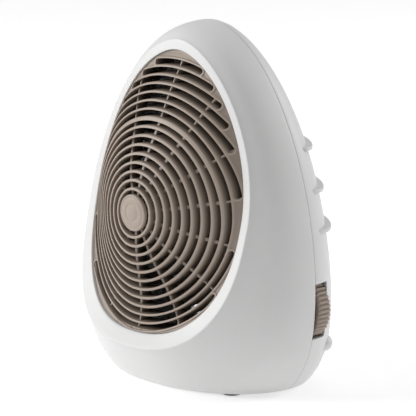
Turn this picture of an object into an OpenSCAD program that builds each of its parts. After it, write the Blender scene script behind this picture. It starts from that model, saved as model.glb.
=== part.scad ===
// Egg-shaped ceramic fan heater: two moulded half shells, ring grille, ceramic
// heating block, axial fan with its motor, and two thumbwheels on the sides.
// Millimetres. +Z is up, the grille faces -Y, and the origin is the middle of
// the foot print on the floor.

/* [Overall] */
// Width of the casing at its widest, on the parting line
body_w = 229; // [220:1:280]
// Height of the casing above the floor
body_h = 270; // [250:1:325]
// Depth from the lowest front edge to the parting plane
front_depth = 87; // [82:1:105]
// Depth from the parting plane to the back
rear_depth = 62; // [58:1:75]
// Wall of both shells
wall = 2.5; // [2:0.1:3.2]
// Thickness of the rubber foot pads
pad_h = 1.5; // [1:0.1:3]
// Height of the fan axis and of the grille's hub
hub_z = 134; // [128:1:142]

/* [Front face] */
// How far the front edge line is inset from the casing's sides
edge_side = 26; // [24:0.5:28]
// How far the front edge line is inset from the casing's top
edge_top = 11; // [9:0.5:13]
// Height of the lowest point of the front edge line
edge_bottom = 33.5; // [30:0.5:38]
// Width of the pale band beside the grille
band_side = 7.4; // [6:0.1:9]
// Width of the pale band over the grille
band_top = 7.6; // [6:0.1:9]
// Width of the pale band under the grille
band_bottom = 10; // [8:0.5:12]
// Backward lean of the front face, mm per mm of height
face_lean = 0.24; // [0.22:0.01:0.26]
// How far the lower band slopes inwards to the grille
band_sink = 4.7; // [4:0.1:5.5]

/* [Grille] */
// Outer radius of the hub ring
hub_r = 11.75; // [11:0.25:13]
// Spacing of the ring blades
ring_pitch = 6.5; // [6:0.1:7.5]
// Thickness of a ring blade
blade_t = 1.6; // [1.4:0.1:2.2]
// Depth of a ring blade
blade_depth = 9; // [7:0.5:10]
// Number of spokes
spoke_count = 14; // [10:2:16]
// How far the spokes sit behind the ring blades' front edges
spoke_sink = 4; // [3:0.5:5]
// Radius of the plain hub disc
cap_r = 14; // [13:0.25:14.5]
// Gap between the grille and the edge of its opening
grille_gap = 0.4; // [0.3:0.05:0.6]

/* [Fan and motor] */
// Radius of the fan over its blade tips
fan_r = 54; // [50:1:56]
// Number of fan blades
fan_blades = 7; // [5:1:9]
// Depth of the fan along its axis
fan_depth = 20; // [16:1:22]
// Gap between the blade tips and the duct
tip_gap = 3; // [2:0.5:4]
// Radius of the motor shaft
shaft_r = 2.5; // [2:0.25:3]
// Radial running clearance of the shaft in its bearings
shaft_play = 0.05; // [0.02:0.01:0.09]
// Width of the motor's lamination stack
stator_w = 56; // [50:1:60]
// Thickness of the lamination stack
stator_t = 16; // [12:1:18]

/* [Heating block] */
// Outer width and height of the heater frame
heater_w = 106; // [100:1:108]
// Thickness of the heater frame
heater_t = 16; // [14:1:16]
// Number of rows of ceramic stones
stone_rows = 4; // [3:1:5]
// Thickness of a row of ceramic stones
stone_t = 2.6; // [2.2:0.1:3]

/* [Thumbwheels] */
// Radius of each thumbwheel over its ridges
wheel_r = 24.5; // [22:0.5:26]
// Width of each thumbwheel
wheel_t = 9; // [8:0.5:10]
// Number of ridges round each thumbwheel
wheel_ridges = 32; // [24:1:40]
// How far the thumbwheels stand out of the casing
wheel_out = 3.5; // [2.5:0.5:5]
// Height of the thumbwheel axes
wheel_z = 66; // [60:1:72]
// Radius of the control spindles
spindle_r = 3; // [2.5:0.25:3.5]

/* [Hidden] */

SHELL_STEPS = 60;
SIDE_STEPS = 8;
DOME_STEPS = 9;
BACK_END = 84;
RING_STEPS = 40;
EPS = 0.01;
MESH_FN = 24;

white_c = [0.92, 0.92, 0.91];
taupe_c = [0.62, 0.55, 0.48];
dark_c = [0.2, 0.19, 0.18];
steel_c = [0.72, 0.73, 0.75];
brass_c = [0.78, 0.65, 0.35];
copper_c = [0.72, 0.42, 0.22];
ceramic_c = [0.88, 0.86, 0.8];
rubber_c = [0.15, 0.15, 0.15];

half_w = body_w / 2;
front_y = -(front_depth + rear_depth) / 2;
seam_y = front_y + front_depth;
back_y = seam_y + rear_depth;
floor_z = pad_h;
base_t = wall;

// Parting outline: an egg whose lower end would reach below the floor.
seam_mid = 79;
seam_up = body_h - seam_mid;
seam_down = 103;
seam_n = [1.87, 2.43];
// The back surface sinks towards the floor as it goes back.
back_drop = 80;
back_n = 1.95;
// Share of the side curve that each control point takes, outwards and backwards.
side_out = 0.24;
side_fall = 0.68;
side_square = 0.76;

// Front edge line and grille opening, as eggs too.
edge_mid = hub_z;
edge_up = body_h - edge_top - edge_mid;
edge_down = edge_mid - edge_bottom;
edge_n = [1.78, 2.7];
open_hw = half_w - edge_side - band_side;
open_mid = hub_z + 1.5;
open_up = body_h - edge_top - band_top - open_mid;
open_bottom = edge_bottom + band_bottom;
open_down = open_mid - open_bottom;
open_n = [1.81, 2.49];
face_bend = 0.00234;
open_lean = face_lean - 0.02;
open_sink = band_sink + face_lean * band_bottom;

// Ring dome of the grille, from its hub.
dome_y = front_y + 6.5;
dome_lean = 0.0675;
dome_bend_x = 0.00464;
dome_bend_up = 0.00337;
dome_bend_down = 0.00116;
dome_edge_power = 12;
dome_edge_step = 1;
border_w = 3.6;
border_sink = 1;
blade_root = 1.1;
ring_count = floor((open_mid + open_up - hub_z - border_w - hub_r - 2) / ring_pitch);

function signed_pow(v, p) = sign(v) * pow(abs(v), p);
function egg(t, hw, mid, up, down, n) =
  let (c = cos(t), s = sin(t), e = 2 / (s >= 0 ? n[0] : n[1]))
  [hw * signed_pow(c, e), mid + (s >= 0 ? up : down) * signed_pow(s, e)];
function on_floor(p, lift) = [p[0], p[1], max(p[2], floor_z + lift)];

// Points of the front edge line, the grille opening and the parting line at angle t.
function edge_point(t, inset = 0) =
  let (p = egg(t, half_w - edge_side - inset, edge_mid, edge_up - inset, edge_down - inset, edge_n))
  [p[0], front_y + face_lean * (p[1] - edge_bottom) + face_bend * p[0] * p[0], p[1]];
function open_point(t, inset = 0) =
  let (p = egg(t, open_hw - inset, open_mid, open_up - inset, open_down - inset, open_n))
  [p[0], front_y + open_sink + open_lean * (p[1] - open_bottom) + face_bend * p[0] * p[0], p[1]];
function seam_point(t, inset = 0) =
  let (p = egg(t, half_w - inset, seam_mid, seam_up - inset, seam_down - inset, seam_n))
  [p[0], seam_y, p[1]];

// Side surface from the edge line (s = 0) to the parting line (s = 1).
function side_point(t, s, inset = 0) =
  let (
    b = edge_point(t, inset) + [0, inset, 0],
    e = seam_point(t, inset),
    d = e - b,
    c1 = b + [d[0] * side_out, d[1] * side_out * side_fall, d[2] * side_out],
    c2 = e - [0, d[1] * side_square, 0]
  )
  pow(1 - s, 3) * b + 3 * pow(1 - s, 2) * s * c1 + 3 * (1 - s) * s * s * c2 + pow(s, 3) * e;

// Back surface: q is 0 on the parting line and 90 at the very back.
function back_point(t, q, inset = 0) =
  let (
    c = pow(cos(q), 2 / back_n),
    d = pow(sin(q), 2 / back_n),
    p = egg(t, half_w - inset, seam_mid, seam_up - inset, seam_down - inset, seam_n)
  )
  [p[0] * c, seam_y + (rear_depth - inset) * d, seam_mid - back_drop * (1 - c) + (p[1] - seam_mid) * c];

// Front surface of the ring blades at x and height z.
function egg_reach(x, z) =
  let (v = z - open_mid, b = v >= 0 ? open_up : open_down, n = v >= 0 ? open_n[0] : open_n[1])
  min(1, pow(pow(abs(x) / open_hw, n) + pow(abs(v) / b, n), 1 / n));
function dome_only(x, z) =
  let (v = z - hub_z)
  dome_y + dome_lean * v + (v > 0 ? dome_bend_up : dome_bend_down) * v * v + dome_bend_x * x * x;
function opening_y(x, z) =
  front_y + open_sink + open_lean * (z - open_bottom) + face_bend * x * x + dome_edge_step;
function dome(x, z) =
  let (d = dome_only(x, z), k = pow(egg_reach(x, z), dome_edge_power))
  d + (opening_y(x, z) - d) * k;

// A closed skin through loops of points; loop_back joins the last loop to the first.
module skin(loops, loop_back = false) {
  n = len(loops[0]);
  m = len(loops);
  points = [for (l = loops) for (p = l) p];
  spans = loop_back ? m : m - 1;
  walls = [for (i = [0:spans - 1]) for (j = [0:n - 1])
    let (a = i * n + j, b = i * n + (j + 1) % n, c = ((i + 1) % m) * n + j, d = ((i + 1) % m) * n + (j + 1) % n)
    each [[a, b, d], [a, d, c]]];
  first_cap = [for (j = [1:n - 2]) [0, j + 1, j]];
  last_cap = [for (j = [1:n - 2]) [(m - 1) * n, (m - 1) * n + j, (m - 1) * n + j + 1]];
  polyhedron(points = points, faces = loop_back ? walls : concat(walls, first_cap, last_cap), convexity = 8);
}

// Everything on the fan axis is drawn along +Y from y.
module on_axis(y) {
  translate([0, y, hub_z]) rotate([-90, 0, 0]) children();
}
module along_y(x, y, z) {
  translate([x, y, z]) rotate([-90, 0, 0]) children();
}
module both_sides() {
  children();
  mirror([1, 0, 0]) children();
}

function shell_angles() = [for (i = [0:SHELL_STEPS - 1]) 360 * i / SHELL_STEPS];

// Solid bounded by the front shell's outside, with its front closed, up to the parting plane.
module front_solid(inset) {
  lift = inset > 0 ? base_t : 0;
  loops = concat(
    [[for (t = shell_angles()) on_floor([0, front_y + 30, hub_z] * 0.98 + open_point(t, inset) * 0.02, lift)]],
    [[for (t = shell_angles()) on_floor(open_point(t, inset) + [0, inset, 0], lift)]],
    [for (i = [0:SIDE_STEPS]) [for (t = shell_angles()) on_floor(side_point(t, i / SIDE_STEPS, inset), lift)]]
  );
  skin(loops);
}

// Solid bounded by the rear shell's outside, from the parting plane backwards.
function back_loop(i, inset) = [for (t = shell_angles())
  on_floor(back_point(t, BACK_END * i / DOME_STEPS, inset), inset > 0 ? base_t : 0)];
module rear_solid(inset) {
  skin([for (i = [0:DOME_STEPS]) back_loop(i, inset)]);
}

// Screw positions that several pieces share.
screw_r = 1.75;
screw_play = 0.1;
screw_seat = 12;
boss_r = 4.5;
rear_boss_r = 4.75;
shell_screw_at = [[60, 215], [69.5, 24.5]];
duct_screw_at = [85.2, 30];
duct_lug = 2.6;
duct_post_r = 3.5;
duct_post_l = 25;
duct_screw_y = -15;
bracket_span = 23;
flange_room = 5.5;
bush_r = 7;
bush_at = [-40, 27];
bush_y = back_y - 2.5;
cord_r = 3.6;
wheel_x = half_w + wheel_out - 1 - wheel_r;
wheel_y0 = seam_y + 3;
bracket_y = seam_y - 2;
bracket_t = 1.2;

module front_shell() {
  color(white_c) resize([body_w, 0, 0]) difference() {
    union() {
      skin(concat(
        [[for (t = shell_angles()) on_floor(open_point(t), 0)]],
        [for (i = [0:SIDE_STEPS]) [for (t = shell_angles()) on_floor(side_point(t, i / SIDE_STEPS), 0)]],
        [for (i = [SIDE_STEPS:-1:0]) [for (t = shell_angles())
          on_floor(side_point(t, i / SIDE_STEPS, wall), base_t)]],
        [[for (t = shell_angles()) on_floor(open_point(t) + [0, wall, 0], base_t)]]
      ), loop_back = true);
      intersection() {
        front_solid(wall / 2);
        union() {
          both_sides() for (p = shell_screw_at)
            let (y = edge_y(p[0], p[1]) + flange_room)
              along_y(p[0], y, p[1]) cylinder(r = boss_r, h = seam_y - EPS - y, $fn = MESH_FN);
          both_sides() for (s = [-1, 1])
            along_y(duct_screw_at[0], duct_screw_y - duct_post_l, hub_z + s * duct_screw_at[1])
              cylinder(r = duct_post_r, h = duct_post_l, $fn = MESH_FN);
          both_sides() for (s = [-1, 1])
            along_y(wheel_x, bracket_y - 60, wheel_z + s * bracket_span)
              cylinder(r = boss_r - 1, h = 60, $fn = MESH_FN);
        }
      }
    }
    both_sides() for (p = shell_screw_at)
      along_y(p[0], seam_y - 16, p[1]) cylinder(r = screw_r + screw_play, h = 20, $fn = MESH_FN);
    both_sides() for (s = [-1, 1]) {
      along_y(duct_screw_at[0], duct_screw_y - 9, hub_z + s * duct_screw_at[1])
        cylinder(r = screw_r + screw_play, h = 10, $fn = MESH_FN);
      along_y(wheel_x, bracket_y - 9, wheel_z + s * bracket_span)
        cylinder(r = screw_r + screw_play, h = 10, $fn = MESH_FN);
    }
  }
}
function edge_y(x, z) = front_y + face_lean * (z - edge_bottom) + face_bend * x * x + wall - 1;

// One ring blade of the grille, following the dome.
module ring_blade(r) {
  angles = [for (i = [0:RING_STEPS - 1]) 360 * i / RING_STEPS];
  skin([for (c = [[0, 0], [1, 0], [1, 1], [0, 1]])
    [for (a = angles) let (
        rr = r - blade_t * c[0],
        x = rr * sin(a),
        z = hub_z + rr * cos(a)
      ) [x, dome(x, z) + blade_depth * c[1], z]]], loop_back = true);
}

// One spoke from the hub ring out to radius reach, at angle a from straight up.
module spoke(a, reach) {
  steps = 10;
  start = hub_r - 3;
  side = [cos(a), -sin(a)] * blade_t / 2;
  stations = [for (i = [0:steps]) start + (reach - start) * i / steps];
  skin([for (r = stations) let (x = r * sin(a), z = hub_z + r * cos(a), y = dome(x, z)) [
    [x - side[0], y + spoke_sink, z - side[1]],
    [x - side[0], y + blade_depth - 0.6, z - side[1]],
    [x + side[0], y + blade_depth - 0.6, z + side[1]],
    [x + side[0], y + spoke_sink, z + side[1]]
  ]]);
}

// Straight prism with the outline of the opening, inset by gap.
module opening_prism(gap) {
  rotate([90, 0, 0]) translate([0, 0, -body_w])
    linear_extrude(height = 2 * body_w)
      polygon([for (t = shell_angles()) let (p = open_point(t + 180 / SHELL_STEPS, gap)) [p[0], p[2]]]);
}

module grille() {
  flange = 1.2;
  flange_t = 2;
  behind = wall + 0.3;
  color(taupe_c) resize([2 * (open_hw + flange), 0, 0]) union() {
    // Border that fills the opening, with a flange behind the casing's pale band.
    skin([
      [for (t = shell_angles()) open_point(t, grille_gap) + [0, dome_edge_step, 0]],
      [for (t = shell_angles()) open_point(t, grille_gap) + [0, behind, 0]],
      [for (t = shell_angles()) open_point(t, -flange) + [0, behind, 0]],
      [for (t = shell_angles()) open_point(t, -flange) + [0, behind + flange_t, 0]],
      [for (t = shell_angles()) let (p = open_point(t, border_w))
        [p[0], dome(p[0], p[2]) + blade_depth + border_sink, p[2]]],
      [for (t = shell_angles()) let (p = open_point(t, border_w)) [p[0], dome(p[0], p[2]) + border_sink, p[2]]]
    ], loop_back = true);
    intersection() {
      union() {
        for (i = [1:ring_count]) let (r = hub_r + i * ring_pitch) intersection() {
          ring_blade(r);
          // The outermost rings only show above the hub, where the opening is taller.
          if (r > open_down - ring_pitch) translate([-body_w, -body_w, hub_z]) cube(2 * body_w);
        }
        for (i = [0:spoke_count - 1]) spoke(360 * i / spoke_count, open_up + 4);
        translate([0, dome_y + 3, hub_z]) rotate([-90, 0, 0])
          cylinder(r = hub_r, h = blade_depth - 3, $fn = RING_STEPS);
      }
      opening_prism(border_w - blade_root);
    }
  }
}

// Plain disc that snaps on the grille's hub.
module hub_cap() {
  disc_t = 3.2;
  rim = 0.8;
  color(taupe_c) on_axis(dome_y - 0.2) rotate_extrude()
    polygon([[0, 0], [cap_r - rim, 0.6], [cap_r, 0.6 + rim], [cap_r, disc_t], [0, disc_t]]);
}

rib_rise = 4.5;
rib_t = 3;
rib_at = [184, 154, 125];
slot_h = 4;
slot_pitch = 7.5;
intake_w = 105;
intake_low = 92;
intake_rows = 15;

module rear_shell() {
  color(white_c) resize([body_w, 0, 0]) difference() {
    union() {
      skin(concat(
        [for (i = [DOME_STEPS:-1:0]) back_loop(i, wall)],
        [for (i = [0:DOME_STEPS]) back_loop(i, 0)]
      ));
      // Stand-off ribs that wrap round the back and keep the intake clear of a wall.
      for (z = rib_at) intersection() {
        difference() {
          rear_solid(-rib_rise);
          rear_solid(wall / 2);
        }
        translate([-body_w, seam_y + 16, z - rib_t / 2]) cube([2 * body_w, body_w, rib_t]);
      }
      // Flat seat of the cord bush.
      along_y(bush_at[0], bush_y - 8, bush_at[1]) cylinder(r = bush_r + 4, h = 8, $fn = MESH_FN);
      // Low rear heels.
      intersection() {
        difference() {
          rear_solid(-rib_rise);
          rear_solid(wall / 2);
        }
        both_sides() translate([half_w - 36, seam_y + 26, 27]) cube([40, 12, 14]);
      }
      intersection() {
        rear_solid(wall / 2);
        both_sides() for (p = shell_screw_at) along_y(p[0], seam_y + EPS, p[1])
          cylinder(r = rear_boss_r, h = rear_depth, $fn = MESH_FN);
      }
    }
    both_sides() for (p = shell_screw_at) {
      along_y(p[0], seam_y - 1, p[1]) cylinder(r = screw_r + 0.3, h = rear_depth + 9, $fn = MESH_FN);
      along_y(p[0], seam_y + screw_seat, p[1]) cylinder(r = boss_r - 0.9, h = rear_depth + 9, $fn = MESH_FN);
    }
    // Windows for the thumbwheels.
    both_sides() translate([wheel_x + 2, seam_y - 1, wheel_z - wheel_r + 3])
      cube([body_w, wheel_y0 + wheel_t + 2.5 - seam_y + 1, 2 * wheel_r - 6]);
    // Air intake slots.
    for (i = [0:intake_rows - 1]) let (z = intake_low + i * slot_pitch, u = (z - hub_z) / 66,
      w = intake_w * sqrt(max(0.04, 1 - u * u)))
      if (min([for (r = rib_at) abs(z - r)]) > slot_h)
        translate([-w / 2, seam_y + 30, z - slot_h / 2]) cube([w, body_w, slot_h]);
    // Hole of the cord bush.
    along_y(bush_at[0], seam_y + 20, bush_at[1]) cylinder(r = bush_r + 0.1, h = rear_depth, $fn = MESH_FN);
  }
}

module cord_bush() {
  flange_t = 2;
  color(dark_c) difference() {
    union() {
      along_y(bush_at[0], bush_y - 12, bush_at[1]) cylinder(r = bush_r - 0.1, h = 12 + flange_t);
      along_y(bush_at[0], bush_y, bush_at[1]) cylinder(r = bush_r + 2, h = flange_t);
    }
    along_y(bush_at[0], bush_y - 20, bush_at[1]) cylinder(r = cord_r, h = 40);
  }
}

foot_at = [[62, seam_y - 36], [58, seam_y + 36]];
module foot_pads() {
  color(rubber_c) both_sides() for (p = foot_at) translate([p[0], p[1], 0]) cylinder(r = 7, h = pad_h);
}

// Ridged thumbwheel, centred on its spindle.
module thumbwheel() {
  ridge = 1.3;
  difference() {
    linear_extrude(height = wheel_t) union() {
      circle(r = wheel_r - ridge * 0.8);
      for (i = [0:wheel_ridges - 1]) rotate(360 * (i + 0.5) / wheel_ridges)
        translate([wheel_r - ridge, 0]) circle(r = ridge);
    }
    translate([0, 0, -1]) cylinder(r = spindle_r, h = wheel_t - 1);
    translate([0, 0, -1]) difference() {
      cylinder(r = wheel_r - 5, h = 4);
      translate([0, 0, -1]) cylinder(r = spindle_r + 3, h = 6);
    }
  }
}
module spindle() {
  length = wheel_y0 + wheel_t - 2 - (bracket_y - 8);
  cylinder(r = spindle_r, h = length);
}
// Housing of a control, with a bush through the bracket.
module control_body(w, h, deep) {
  bush = 5.5;
  difference() {
    union() {
      translate([-w / 2, -h / 2, 0]) cube([w, h, deep]);
      cylinder(r = bush, h = deep + bracket_t + 1.5);
    }
    translate([0, 0, deep - 8.5]) cylinder(r = spindle_r + shaft_play, h = 20);
  }
}
module control_bracket() {
  h = 2 * bracket_span + 8;
  difference() {
    translate([-8, -h / 2, 0]) cube([16, h, bracket_t]);
    translate([0, 0, -1]) cylinder(r = 5.5, h = 4);
    for (s = [-1, 1]) translate([0, s * bracket_span, -1]) cylinder(r = screw_r, h = 4);
  }
}
thermostat_deep = 13;
selector_deep = 14;
module thermostat_wheel() { color(taupe_c) along_y(wheel_x, wheel_y0, wheel_z) thumbwheel(); }
module selector_wheel() { color(taupe_c) along_y(-wheel_x, wheel_y0, wheel_z) thumbwheel(); }
module thermostat_spindle() { color(brass_c) along_y(wheel_x, bracket_y - 8, wheel_z) spindle(); }
module selector_spindle() { color(brass_c) along_y(-wheel_x, bracket_y - 8, wheel_z) spindle(); }
module thermostat_body() {
  color(ceramic_c) along_y(wheel_x, bracket_y - thermostat_deep, wheel_z) control_body(22, 30, thermostat_deep);
}
module selector_switch() {
  color(dark_c) along_y(-wheel_x, bracket_y - selector_deep, wheel_z) control_body(24, 24, selector_deep);
}
module thermostat_bracket() { color(steel_c) along_y(wheel_x, bracket_y, wheel_z) control_bracket(); }
module selector_bracket() { color(steel_c) along_y(-wheel_x, bracket_y, wheel_z) control_bracket(); }

// Small pan-head screw pointing along +Z, its head's underside at z = 0.
module screw(length, r = screw_r) {
  union() {
    cylinder(r = r, h = length);
    translate([0, 0, -1.8]) difference() {
      cylinder(r = r + 1.6, h = 1.8);
      translate([-r, -0.4, -1]) cube([2 * r, 0.8, 1.8]);
    }
  }
}
module screw_towards_front(x, y, z, length, r = screw_r) {
  translate([x, y, z]) rotate([90, 0, 0]) screw(length, r);
}
module bracket_screws() {
  color(steel_c) both_sides() for (s = [-1, 1])
    screw_towards_front(wheel_x, bracket_y + bracket_t, wheel_z + s * bracket_span, 9);
}
module shell_screws() {
  color(steel_c) both_sides() for (p = shell_screw_at) screw_towards_front(p[0], seam_y + screw_seat, p[1], 26);
}
module duct_screws() {
  color(steel_c) both_sides() for (s = [-1, 1])
    screw_towards_front(duct_screw_at[0], duct_screw_y + duct_t, hub_z + s * duct_screw_at[1], 11);
}

// Heating block: frame, rows of ceramic stones, fins between them, contact plates.
heater_y = duct_screw_y - heater_t;
heater_in = heater_w - 16;
row_step = heater_in / (stone_rows + 1);
plate_t = 0.6;
function row_z(i) = hub_z - heater_in / 2 + row_step * (i + 1);
module heater_frame() {
  color(dark_c) difference() {
    translate([-heater_w / 2, heater_y, hub_z - heater_w / 2]) cube([heater_w, heater_t, heater_w]);
    translate([-heater_in / 2, heater_y - 1, hub_z - heater_in / 2]) cube([heater_in, heater_t + 2, heater_in]);
  }
}
module ceramic_stones() {
  count = 4;
  gap = 0.6;
  long = (heater_in - 4 - gap * (count - 1)) / count;
  color(ceramic_c) for (i = [0:stone_rows - 1]) for (k = [0:count - 1])
    translate([-heater_in / 2 + 2 + k * (long + gap), heater_y + 3, row_z(i) - stone_t / 2])
      cube([long, heater_t - 6, stone_t]);
}
module heater_electrodes() {
  color(brass_c) for (i = [0:stone_rows - 1]) for (s = [-1, 1]) {
    z = row_z(i) + s * (stone_t / 2 + plate_t / 2);
    translate([-heater_in / 2 + 1, heater_y + 3, z - plate_t / 2]) cube([heater_in - 2, heater_t - 6, plate_t]);
  }
}
module heater_fins() {
  fin_t = 0.8;
  pitch = 6;
  space = row_step - stone_t - 2 * plate_t;
  n = floor((heater_in - 8) / pitch);
  color(steel_c) for (i = [0:stone_rows]) {
    z0 = (i == 0 ? hub_z - heater_in / 2 : row_z(i - 1) + stone_t / 2 + plate_t);
    z1 = (i == stone_rows ? hub_z + heater_in / 2 : row_z(i) - stone_t / 2 - plate_t);
    inner = z1 - z0 - (i == 0 || i == stone_rows ? 3 : 0);
    base = i == 0 ? z0 + 3 : z0;
    translate([0, heater_y + 3, 0]) union() {
      translate([-n * pitch / 2, 0, base]) cube([n * pitch + fin_t, heater_t - 6, fin_t]);
      translate([-n * pitch / 2, 0, base + inner - fin_t]) cube([n * pitch + fin_t, heater_t - 6, fin_t]);
      for (k = [0:n]) translate([-n * pitch / 2 + k * pitch, 0, base]) cube([fin_t, heater_t - 6, inner]);
    }
  }
}
// Spring strips that press the stack together inside the frame.
module heater_clips() {
  color(steel_c) for (s = [-1, 1]) translate([-heater_in / 2 + 4, heater_y + 3, hub_z + s * (heater_in / 2 - 1.5) - 1.5])
    cube([heater_in - 8, heater_t - 6, 3]);
}
module thermal_cutout() {
  color(steel_c) translate([heater_w / 2, heater_y + heater_t / 2, hub_z]) rotate([0, 90, 0]) union() {
    cylinder(r = 7, h = 6);
    for (s = [-1, 1]) translate([-0.4, s * 4 - 1.5, 5]) cube([0.8, 3, 7]);
  }
}
module thermal_fuse() {
  color(steel_c) translate([0, heater_y + heater_t / 2, hub_z - heater_w / 2 - 2.5]) union() {
    rotate([0, 90, 0]) translate([0, 0, -7]) cylinder(r = 2, h = 14);
    translate([-3, -3, 0.5]) cube([6, 6, 2]);
  }
}

// Fan duct: round tunnel with a flange that screws to posts in the front shell.
duct_in = fan_r + tip_gap;
duct_wall = 2.2;
duct_y = duct_screw_y;
duct_t = 3;
duct_end = 22;
fan_y = duct_y + 6;
module fan_duct() {
  lug_w = 12;
  color(dark_c) difference() {
    union() {
      on_axis(duct_y) cylinder(r = duct_in + duct_wall, h = duct_end - duct_y);
      translate([-heater_w / 2 - 2, duct_y, hub_z - heater_w / 2 - 2])
        cube([heater_w + 4, duct_t, heater_w + 4]);
      for (s = [-1, 1])
        translate([-duct_screw_at[0] - duct_lug, duct_y, hub_z + s * duct_screw_at[1] - lug_w / 2])
          cube([2 * (duct_screw_at[0] + duct_lug), duct_t, lug_w]);
      for (a = [45, 135, 225, 315]) on_axis(duct_end - 8) rotate(a) translate([duct_in + 4, 0, 0])
        cylinder(r = 4, h = 8);
    }
    on_axis(duct_y - 1) cylinder(r = duct_in, h = 80);
    both_sides() for (s = [-1, 1])
      along_y(duct_screw_at[0], duct_y - 1, hub_z + s * duct_screw_at[1]) cylinder(r = screw_r + 0.2, h = 6);
    for (a = [45, 135, 225, 315]) on_axis(duct_end - 7) rotate(a) translate([duct_in + 4, 0, 0])
      cylinder(r = screw_r + screw_play, h = 20);
  }
}
// Axial fan: hub with pitched blades.
module fan_rotor() {
  fan_hub = 17;
  blade = 2;
  color(dark_c) on_axis(fan_y) difference() {
    union() {
      cylinder(r = fan_hub, h = fan_depth);
      intersection() {
        for (i = [0:fan_blades - 1]) rotate(360 * i / fan_blades)
          translate([fan_hub - 1, 0, fan_depth / 2]) rotate([-32, 0, 0])
            translate([0, -15, -blade / 2]) cube([fan_r, 30, blade]);
        cylinder(r = fan_r, h = fan_depth);
      }
    }
    translate([0, 0, -1]) cylinder(r = shaft_r, h = 40);
    translate([0, 0, -1]) difference() {
      cylinder(r = fan_hub - 2, h = fan_depth - 3);
      translate([0, 0, -1]) cylinder(r = 6, h = fan_depth);
    }
  }
}
module fan_clip() {
  color(steel_c) on_axis(fan_y - 1.6) difference() {
    cylinder(r = 6, h = 1.5);
    translate([0, 0, -1]) cylinder(r = shaft_r, h = 4);
  }
}
motor_y = duct_end + 3;
bearing_t = 5;
stud_t = 3;
stud_r = 2;
stator_y = motor_y + bearing_t + stud_t;
motor_end = stator_y + stator_t + stud_t + bearing_t;
rotor_r = 11;
rotor_air = 0.5;
module motor_shaft() {
  color(steel_c) on_axis(fan_y - 3) cylinder(r = shaft_r, h = motor_end - 1 - (fan_y - 3));
}
module motor_rotor() {
  color(steel_c) on_axis(stator_y - 1) difference() {
    cylinder(r = rotor_r, h = stator_t + 2);
    translate([0, 0, -1]) cylinder(r = shaft_r, h = stator_t + 4);
  }
}
// Shaded-pole motor: a laminated frame whose lower leg carries the coil.
coil_leg = 12;
module motor_stator() {
  drop = 22;
  color(steel_c) translate([0, stator_y, hub_z]) rotate([-90, 0, 0]) difference() {
    translate([-stator_w / 2, -18, 0]) cube([stator_w, 36 + drop, stator_t]);
    translate([0, 0, -1]) cylinder(r = rotor_r + rotor_air, h = stator_t + 2);
    translate([-stator_w / 2 + 11, 18, -1]) cube([stator_w - 22, drop - coil_leg, stator_t + 2]);
    for (s = [-1, 1]) translate([s * (stator_w / 2 - 5), 0, -1])
      cylinder(r = stud_r + screw_play, h = stator_t + 2);
  }
}
module motor_coil() {
  leg_z = hub_z - 18 - 22 + coil_leg / 2;
  color(copper_c) difference() {
    translate([-14, stator_y - 6, leg_z - 11]) cube([28, stator_t + 12, 20]);
    translate([-15, stator_y, leg_z - coil_leg / 2]) cube([30, stator_t, coil_leg]);
  }
}
// Die-cast end bracket with the sleeve bearing, on two studs.
module end_bearing(front) {
  difference() {
    union() {
      translate([-stator_w / 2, -6, 0]) cube([stator_w, 12, 2.5]);
      cylinder(r = 8, h = bearing_t);
      for (s = [-1, 1]) translate([s * (stator_w / 2 - 5), 0, 0]) cylinder(r = 4.5, h = bearing_t + stud_t);
    }
    translate([0, 0, -1]) cylinder(r = shaft_r + shaft_play, h = 20);
    for (s = [-1, 1]) translate([s * (stator_w / 2 - 5), 0, -1]) cylinder(r = stud_r + screw_play, h = 20);
  }
}
module motor_front_bearing() { color(steel_c) on_axis(motor_y) end_bearing(true); }
module motor_rear_bearing() {
  color(steel_c) on_axis(motor_end) mirror([0, 0, 1]) end_bearing(false);
}
module motor_bracket() {
  arm = 12;
  reach = duct_in + 8;
  color(steel_c) on_axis(duct_end) linear_extrude(height = motor_y - duct_end) difference() {
    union() {
      for (a = [45, 135]) rotate(a) square([2 * reach, arm], center = true);
      circle(r = 20);
      square([stator_w + 2, 16], center = true);
    }
    circle(r = shaft_r + 2);
    for (a = [45, 135, 225, 315]) rotate(a) translate([duct_in + 4, 0]) circle(r = screw_r + 0.2);
    for (s = [-1, 1]) translate([s * (stator_w / 2 - 5), 0]) circle(r = stud_r + screw_play);
  }
}
module motor_screws() {
  color(steel_c) {
    for (a = [45, 135, 225, 315]) on_axis(motor_y) rotate(a) translate([duct_in + 4, 0, 0])
      mirror([0, 0, 1]) screw(9);
    for (s = [-1, 1]) on_axis(motor_end) translate([s * (stator_w / 2 - 5), 0, 0])
      mirror([0, 0, 1]) screw(motor_end - duct_end, stud_r);
  }
}
module tilt_switch() {
  color(dark_c) translate([20, seam_y - 30, floor_z + base_t]) union() {
    cube([18, 14, 20]);
    translate([3, 3, 20]) cube([3, 1, 6]);
    translate([12, 3, 20]) cube([3, 1, 6]);
  }
}
module terminal_block() {
  ways = 4;
  color(white_c) translate([-50, seam_y - 32, floor_z + base_t]) difference() {
    cube([ways * 10, 16, 14]);
    for (i = [0:ways - 1]) translate([i * 10 + 5, 8, 8]) {
      cylinder(r = 2.2, h = 9);
      rotate([90, 0, 0]) translate([0, -2, -10]) cylinder(r = 1.8, h = 20);
    }
  }
}

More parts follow.
